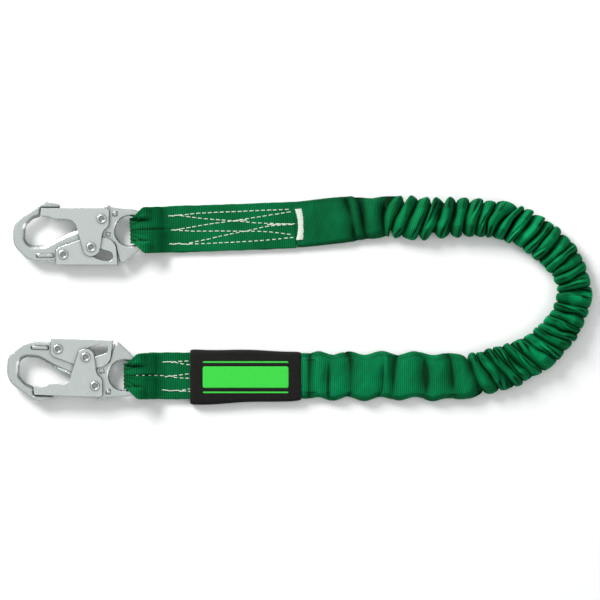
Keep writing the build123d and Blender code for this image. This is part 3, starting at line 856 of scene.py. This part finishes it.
def fold_sleeve(upright, shares):
    """For each ring's points: place on the route, height and width as shares, and painted shade from its depth in
    a fold.
    """
    rng = np.random.default_rng(77)
    count = len(PLEATS)
    wander = [Ripple(200 + i, 4) for i in range(count)]
    deepen = [Ripple(400 + i, 4) for i in range(count)]
    swell = [Ripple(600 + i, 4) for i in range(count)]
    leans = rng.uniform(-0.3, 0.5, count)
    # grooves that fork off a valley into a ridge: where across, how far along, how long and how deep
    groove_rows = []
    for k in range(count):
        at, level = rng.uniform(-0.9, 0.9), rng.choice([0.24, 0.36, 0.62, 0.74])
        long, deep = rng.uniform(0.3, 0.8), rng.uniform(-0.1, 0.3)
        groove_rows.append((at, level, long, deep))
    under = np.where(upright < -0.9, 0.45, 1.0)
    places, heights, widths, fold_shades = [], [], [], []
    for i in range(count - 1):
        here, there = PLEATS[i], PLEATS[i + 1]
        gathered = GATHER_START - 1 <= here[0] and there[0] <= GATHER_END + 2
        pitch = there[0] - here[0]
        steps = STEPS if gathered else max(STEPS, int(pitch / 1.0))
        loose = 1.0 if gathered else 0.6
        lines, tops, sides = [], [], []
        for row, k in ((here, i), (there, i + 1)):
            bow = row[2] * (shares**2 - 0.4)
            lines.append(row[0] + row[1] * shares + bow + loose * wander[k](shares * 2.8))
            uneven = 1 + (0.3 if gathered else 0.7) * deepen[k](shares * 3.0)
            tops.append(np.clip(row[3] * uneven, 0, 0.66))
            sides.append(row[4] * (1 + 0.35 * deepen[k](shares * 2.0, 3.0)))
        gap = np.maximum(lines[1] - lines[0], min(0.55 * pitch, 5.5))
        for k in range(steps):
            u = k / steps
            bulge = (4 * u * (1 - u)) ** here[5]
            eased = u * u * (3 - 2 * u)
            crest = (0.10 if gathered else 0.03) * swell[i](shares * 1.7, u)
            top_sink = (tops[0] * (1 - eased) + tops[1] * eased) * under
            side_sink = sides[0] * (1 - eased) + sides[1] * eased
            at, level, long, deep = groove_rows[i]
            groove = 0.0
            if gathered and deep > 0:
                slant = level + 0.22 * (shares - at) / long
                groove = deep * np.exp(-(((u - slant) / 0.11) ** 2) - ((shares - at) / long) ** 2)
            heights.append((1 - top_sink) + (crest + top_sink) * bulge - groove * (upright > 0))
            side_round = bulge ** np.interp(here[0], [GATHER_START, GATHER_START + 60.0], [1.25, 0.7])
            widths.append((1 - side_sink) + (0.5 * crest + side_sink) * side_round)
            places.append(lines[0] + gap * u + loose * leans[i] * bulge * pitch * 0.5)
            # painted shade in each valley, deepest where the top sinks, and in the grooves
            depth = top_sink * (1 - bulge) ** 1.3 / 0.36 + groove * 2.0
            # painted shade: the flat parts are painted darker than the stretched crests of the gathers
            shade = np.interp(
                here[0],
                [60.0, GATHER_START, GATHER_START + 60.0, GATHER_START + 110.0, GATHER_END - 40.0, GATHER_END],
                [0.72, 0.22, 0.14, 0.0, 0.0, 0.50],
            )
            fold_shades.append(1 - (1 - np.clip(depth, 0, 1)) * (1 - shade))
    return np.clip(np.array(places), 0.0, TOTAL), np.array(heights), np.array(widths), np.array(fold_shades)


def build_sleeve():
    """The sleeve's rings, its lengths along and round, its places on the route and its painted shade from the fold
    depths.
    """
    across, upright, round_side = section_shares(*SLEEVE_POINTS)
    shares = across * (1 - SHARE_ROUNDING) + round_side * SHARE_ROUNDING
    places, heights, widths, fold_shades = fold_sleeve(upright, shares)
    half = section_at(places, 1)
    top = section_at(places, 2)
    corner = section_at(places, 3)
    low_places = [0, 12, GATHER_START, GATHER_END, TOTAL - 20, TOTAL]
    low = np.interp(places, low_places, [0.5, 0.4, 0.25, 0.25, 0.4, 0.9])
    middle = (top + low) / 2
    lateral = across * (half - corner) + round_side * corner
    crown = 1 - 0.16 * (lateral / half) ** 2 * (upright > 0)
    level = upright * (top - low) / 2
    height = np.where(upright > 0, (level + (top - low) / 2) * crown * heights - (top - low) / 2, level)
    lateral = lateral * np.where(np.abs(across) > 0.98, np.maximum(widths, BESIDE_CORE / half), widths)
    # the loose end's edges wave from side to side
    back = TOTAL - places
    wave = EDGE_WAVE * np.sin(back * 2 * math.pi / WAVE_LENGTH + 0.9 + 0.5 * np.sin(back / 37.0))
    lateral = lateral + wave * smooth_step(back, 4, 22) * (1 - smooth_step(back, 132, 158))
    fine = Ripple(901, 9)
    height = height + 0.35 * fine(places / 4.2, lateral / 5.0) * (upright > 0) * smooth_step(places, 3, 20)
    centre_x = at_route(route[:, 0], places)
    centre_y = at_route(route[:, 1], places)
    tangent_x = at_route(route_tangent[:, 0], places)
    tangent_y = at_route(route_tangent[:, 1], places)
    out = np.zeros(places.shape + (3,))
    out[..., 0] = centre_x - tangent_y * lateral
    out[..., 1] = centre_y + tangent_x * lateral
    over_core = OVER_CORE - 3.0 * smooth_step(np.abs(lateral), 15.5, 18.5)
    over_core = over_core - 1.0 * smooth_step(places, TOTAL - 14.0, TOTAL - 3.0)
    over_core = np.where(places > 88.0, over_core, np.minimum(OVER_CORE_START, over_core))
    raised = np.where((upright > 0) & (places > 6.0), over_core, 0.25)
    out[..., 2] = np.maximum(middle + height, raised)
    steps_length = np.linalg.norm(np.diff(out, axis=0), axis=2)
    along = np.r_[0, np.cumsum(steps_length[:, :SLEEVE_POINTS[0]].mean(axis=1))]
    ring_length = np.r_[0, np.cumsum(np.linalg.norm(np.diff(out[len(out) // 2], axis=0), axis=1))]
    return out, along, ring_length, places, fold_shades


sleeve_rings, sleeve_along, sleeve_around, sleeve_s, sleeve_fold_shade = build_sleeve()


def closed_ends(rings, along, fold_shade):
    """Turns the open ends in, so that the tube closes behind its own edge."""

    def inner(ring, share, push):
        middle = ring.mean(axis=0)
        return middle + (ring - middle) * share + push

    first = rings[0]
    last = rings[-1]
    into_first = rings[3].mean(axis=0) - first.mean(axis=0)
    into_last = rings[-4].mean(axis=0) - last.mean(axis=0)
    head = [inner(first, 0.86, into_first * 0.6), inner(first, 0.95, into_first * 0.05)]
    tail = [inner(last, 0.95, into_last * 0.05), inner(last, 0.86, into_last * 0.6)]
    rings = np.concatenate([head, rings, tail])
    along = np.r_[along[0] - 2, along[0] - 1, along, along[-1] + 1, along[-1] + 2]
    fold_shade = np.concatenate([fold_shade[:1], fold_shade[:1], fold_shade, fold_shade[-1:], fold_shade[-1:]])
    return rings, along, fold_shade


# one cut in the bend's first valley past the straight run
STRETCH_START = upper_leg.place((258.0, 0.0, 8.0))
STRETCH_END = upper_leg.place((352.0, 0.0, 8.0))
CUT_PLACE = 214.0
valley_s = PLEATS[:, 0]
cut_s = valley_s[np.argmin(abs(valley_s - CUT_PLACE))]
cut = int(np.argmin(abs(sleeve_s.mean(axis=1) - cut_s)))
sleeve_parts = []
for part_name, rows in (("sleeve_upper", slice(0, cut + 1)), ("sleeve_lower", slice(cut, None))):
    rings, along, fold_shade = closed_ends(sleeve_rings[rows], sleeve_along[rows], sleeve_fold_shade[rows])
    sleeve_parts.append(
        tube(part_name, rings, along[:, None], sleeve_around[None], sleeve_green, fold_shade)
    )
upper_part, lower_part = sleeve_parts
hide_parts("upper_sleeve")
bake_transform(upper_part)
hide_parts("main_sleeve")
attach(lower_part, "main")


# A flat band's section with eased corners, in halves of its width and thickness
BAND_SECTION = [
    (-1, 0.6), (-0.97, 1), (0, 1), (0.97, 1), (1, 0.6),
    (1, -0.6), (0.97, -1), (0, -1), (-0.97, -1), (-1, -0.6),
]
BAND_STEP = 3.0
CORE_HALF = 13.0
ELASTIC_HALF = 3.5
ELASTIC_OFFSET = 8.0


def inner_bands(name, node, offsets, half, first, last, look):
    """Flat bands inside the sleeve at the node's height, from place first to place last."""
    low, high = (corner[2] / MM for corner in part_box(node))
    middle, thick = (low + high) / 2, (high - low) / 2
    places = np.linspace(first, last, int((last - first) / BAND_STEP))
    verts, faces, uvs = [], [], []
    for offset in offsets:
        base = len(verts)
        for place in places:
            centre_x, centre_y = (at_route(route[:, i], place) for i in (0, 1))
            tangent_x, tangent_y = (at_route(route_tangent[:, i], place) for i in (0, 1))
            for a, b in BAND_SECTION:
                lateral = offset + a * half
                x, y = centre_x - lateral * tangent_y, centre_y + lateral * tangent_x
                verts.append((x, y, middle + b * thick))
                uvs.append((place, lateral))
        faces += [tuple(base + v for v in face) for face in tube_faces(len(places), len(BAND_SECTION))]
    made = piece(name, verts, faces, uvs, look)
    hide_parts(node)
    return made


upper_core = inner_bands(
    "upper_core", "upper_core_webbing", [0.0], CORE_HALF, 9.0, 168.0, core_white
)
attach(upper_core, "upper_leg")
lower_core = inner_bands(
    "lower_core", "lower_core_webbing", [0.0], CORE_HALF, CORE_START, TOTAL - 6.5, core_white
)
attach(lower_core, "main")
elastic_strips = inner_bands(
    "elastic_strips", "elastic_bands", [-ELASTIC_OFFSET, ELASTIC_OFFSET], ELASTIC_HALF,
    CORE_START + 2.0, GATHER_END - 2.0, elastic_grey,
)
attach(elastic_strips, "main")

# ---- label cover

cover_low, cover_high = (np.array(v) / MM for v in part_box("label_cover"))
COVER_BOTTOM, COVER_TOP = 0.15, 9.45
COVER_CORNER = 3.0
COVER_CLOTH = 0.75
pillow = Ripple(951, 6)


def cover_span(t):
    """The cover's middle and half width a share t along it: it narrows towards the right."""
    low_y = -100.4 + 4.2 * t
    high_y = -46.9 - 2.2 * t
    return (low_y + high_y) / 2, (high_y - low_y) / 2


def pillowed(x, lateral):
    """How far the cover's top swells or sinks at a place on it."""
    return 0.26 * pillow(x / 16.0, lateral / 14.0)


def label_cover():
    """A cloth cover wrapped round the strap, open at both ends, slightly pillowed."""
    length = cover_high[0] - cover_low[0]
    stations = np.linspace(0, 1, 76)
    across, upright, round_side = section_shares(*SLEEVE_POINTS)

    def shell(inset):
        rings = []
        for t in stations:
            x = cover_low[0] + length * t
            end = min(t, 1 - t) * length
            nip = 1.6 * math.exp(-end / 2.0)
            middle, full_half = cover_span(t)
            half = full_half - nip * 0.6 - inset
            low_z, high_z = COVER_BOTTOM + inset, COVER_TOP - inset
            lateral = across * (half - COVER_CORNER) + round_side * COVER_CORNER
            crown = 1 - 0.10 * np.abs(lateral / half) ** 3
            height = (low_z + high_z) / 2 + upright * (high_z - low_z) / 2 * crown
            height = height + (upright > 0) * (pillowed(x, lateral) - 0.25 * nip)
            edge = 0.5 * math.sin(t * 9.0) * (np.abs(across) > 0.99)
            rings.append(np.stack([np.full(len(across), x), middle - lateral - edge, height], 1))
        return np.array(rings)

    outer = shell(0.0)
    inner = shell(COVER_CLOTH)[::-1]
    hem_right = (outer[-1] + inner[0]) / 2 + np.array([0.35, 0, 0])
    hem_left = (inner[-1] + outer[0]) / 2 - np.array([0.35, 0, 0])
    rings = np.concatenate([outer, hem_right[None], inner, hem_left[None]])
    count, around = rings.shape[:2]
    faces = []
    for k in range(count):
        for j in range(around):
            a, b = k * around + j, k * around + (j + 1) % around
            c, d = ((k + 1) % count) * around + (j + 1) % around, ((k + 1) % count) * around + j
            faces.append((a, b, c, d))
    along = length_along(rings[:, 0])
    uvs = np.zeros((count, around, 2))
    uvs[..., 0] = along[:, None]
    uvs[..., 1] = np.r_[0, np.cumsum(np.linalg.norm(np.diff(rings[10], axis=0), axis=1))]
    return piece("label_wrap", rings.reshape(-1, 3), faces, uvs.reshape(-1, 2), label_black)


wrap = label_cover()
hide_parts("label_cover")
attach(wrap, "main")


def top_of(x, y):
    """The height of the cover's top at a place on it."""
    middle, half = cover_span((x - cover_low[0]) / (cover_high[0] - cover_low[0]))
    lateral = middle - y
    crown = 1 - 0.10 * abs(lateral / half) ** 3
    return (COVER_BOTTOM + COVER_TOP) / 2 + (COVER_TOP - COVER_BOTTOM) / 2 * crown + pillowed(x, lateral)


PRINT_RAISED = 0.09
PRINT_THICK = 0.3
PRINT_CORNER = 1.6


def print_bar(name, x_low, x_high, y_low, y_high):
    """A plain printed bar with rounded corners that follows the cover's top."""
    columns, rows = 91, 25
    radius = min(PRINT_CORNER, (y_high - y_low) / 2)
    grid = []
    for i in range(columns):
        x = x_low + (x_high - x_low) * i / (columns - 1)
        near = min(x - x_low, x_high - x)
        cut = 0.0 if near >= radius else radius - math.sqrt(max(radius**2 - (radius - near) ** 2, 0.0))
        cut = min(cut, (y_high - y_low) / 2 - 0.02)
        for j in range(rows):
            y = y_low + cut + (y_high - y_low - 2 * cut) * j / (rows - 1)
            grid.append((x, y, top_of(x, y) + PRINT_RAISED))
    top = np.array(grid)
    verts = np.vstack([top, top - np.array([0, 0, PRINT_THICK])])
    made = piece(name, verts, slab_faces(columns, rows), verts[:, :2], print_green)
    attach(made, "main")
    return made


cover_middle = (cover_low[0] + cover_high[0]) / 2
BAR_HALF = 41.0
for bar_name, bar_low, bar_high in (
    ("label_band", -84.0, -63.5), ("label_line_top", -60.0, -58.6), ("label_line_bottom", -88.9, -87.5)
):
    print_bar(bar_name, cover_middle - BAR_HALF, cover_middle + BAR_HALF, bar_low, bar_high)

# ---- hooks

# Place, length, width, turn and height; the lock lever sweeps over the second one
PADS = [
    (-14.0, 16.2, 5.4, 5.6, 0.0, 0.42),
    (-20.6, -3.2, 5.6, 5.2, -0.16, 0.13),
    (-80.6, -23.6, 18.6, 5.2, 0.0, 0.42),
]
PAD_ROWS = 14
BODY_HALF = 4.0
PAD_ROOT = -0.5


def blank_pads(name, hook, body):
    """Raised blank pads forged on both faces of the hook's body, where such hooks carry their marks."""
    verts, faces, uvs = [], [], []
    steps = np.linspace(-1, 1, PAD_ROWS)
    for x, y, long, wide, turn, height in PADS:
        for side in (1, -1):
            base = len(verts)
            for layer in (height, PAD_ROOT):
                for a in steps:
                    for b in steps:
                        shrink = 1 - 0.10 * (a * b) ** 2
                        px, py = a * long / 2 * shrink, b * wide / 2 * shrink
                        rise = layer
                        if layer > 0:
                            rim = min((1 - abs(a)) * long / 2, (1 - abs(b)) * wide / 2)
                            rise = -0.2 + (layer + 0.2) * float(smooth_step(rim, -0.1, 0.7))
                        turned_x = px * math.cos(turn) - py * math.sin(turn)
                        turned_y = px * math.sin(turn) + py * math.cos(turn)
                        verts.append((x + turned_x, y + turned_y, side * (BODY_HALF + rise)))
                        uvs.append((px, py))
            faces += [tuple(base + v for v in face) for face in slab_faces(PAD_ROWS, PAD_ROWS)]
    made = piece(name, hook.place(verts), faces, uvs, forged)
    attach(made, body)


blank_pads("upper_hook_pads", upper_hook, "upper_hook")
blank_pads("lower_hook_pads", lower_hook, "lower_hook")

SHARP_EDGE = math.radians(40)
EDGE_ROUND = {"gate": 0.55, "lock_lever": 0.5}
for hook_name in ("upper_hook", "lower_hook"):
    for part_name, width in EDGE_ROUND.items():
        rounded = frame["nodes"][f"{hook_name}_{part_name}"].modifiers.new("worn_edges", "BEVEL")
        rounded.width = width * MM
        rounded.segments = 3
        rounded.limit_method = "ANGLE"
        rounded.angle_limit = SHARP_EDGE
        rounded.harden_normals = True

# ---- stage and light


def stage():
    """A plain pale floor just under the object."""
    ground = bpy.data.meshes.new("ground")
    reach = 6.0
    level = -0.0004
    ground.from_pydata(
        [(-reach, -reach, level), (reach, -reach, level), (reach, reach, level), (-reach, reach, level)],
        [],
        [(0, 1, 2, 3)],
    )
    floor = bpy.data.objects.new("ground", ground)
    scene.collection.objects.link(floor)
    n = Nodes("ground")
    n.set(color=n.mix(n.noise(2.0, 2.0), (0.90, 0.90, 0.90, 1), (0.93, 0.93, 0.93, 1)), rough=0.9, specular=0.1)
    ground.materials.append(n.material)


def area_light(name, place, target, size, power):
    data = bpy.data.lights.new(name, "AREA")
    data.shape = "DISK"
    data.size = size
    data.energy = power
    light = bpy.data.objects.new(name, data)
    light.location = place
    light.rotation_euler = (Vector(target) - Vector(place)).to_track_quat("-Z", "Y").to_euler()
    scene.collection.objects.link(light)


def world_light():
    """A soft studio sky: pale behind the object, a dark band higher up so that steel edges read."""
    world = bpy.data.worlds.new("sky")
    scene.world = world
    world.use_nodes = True
    tree = world.node_tree
    background = tree.nodes["Background"]
    coordinates = tree.nodes.new("ShaderNodeTexCoord")
    split = tree.nodes.new("ShaderNodeSeparateXYZ")
    ramp = tree.nodes.new("ShaderNodeValToRGB")
    ramp.color_ramp.elements[0].position = 0.0
    ramp.color_ramp.elements[0].color = (0.66, 0.68, 0.67, 1)
    ramp.color_ramp.elements[1].position = 1.0
    ramp.color_ramp.elements[1].color = (0.66, 0.69, 0.68, 1)
    for place, level in ((0.15, 0.50), (0.27, 0.05), (0.45, 0.08), (0.62, 0.34), (0.80, 0.95), (0.93, 0.68)):
        ramp.color_ramp.elements.new(place).color = (level, 1.03 * level, 1.02 * level, 1)
    tree.links.new(coordinates.outputs["Generated"], split.inputs[0])
    tree.links.new(split.outputs["Z"], ramp.inputs[0])
    tree.links.new(ramp.outputs[0], background.inputs["Color"])
    background.inputs["Strength"].default_value = 1.0


stage()
world_light()
area_light("key", (-1.1, 1.2, 1.0), (0.0, 0.0, 0.0), 1.0, 50.0)
area_light("fill", (1.3, -0.6, 1.3), (0.0, 0.0, 0.0), 1.2, 6.0)

# ---- update the view layer

bpy.context.view_layer.update()
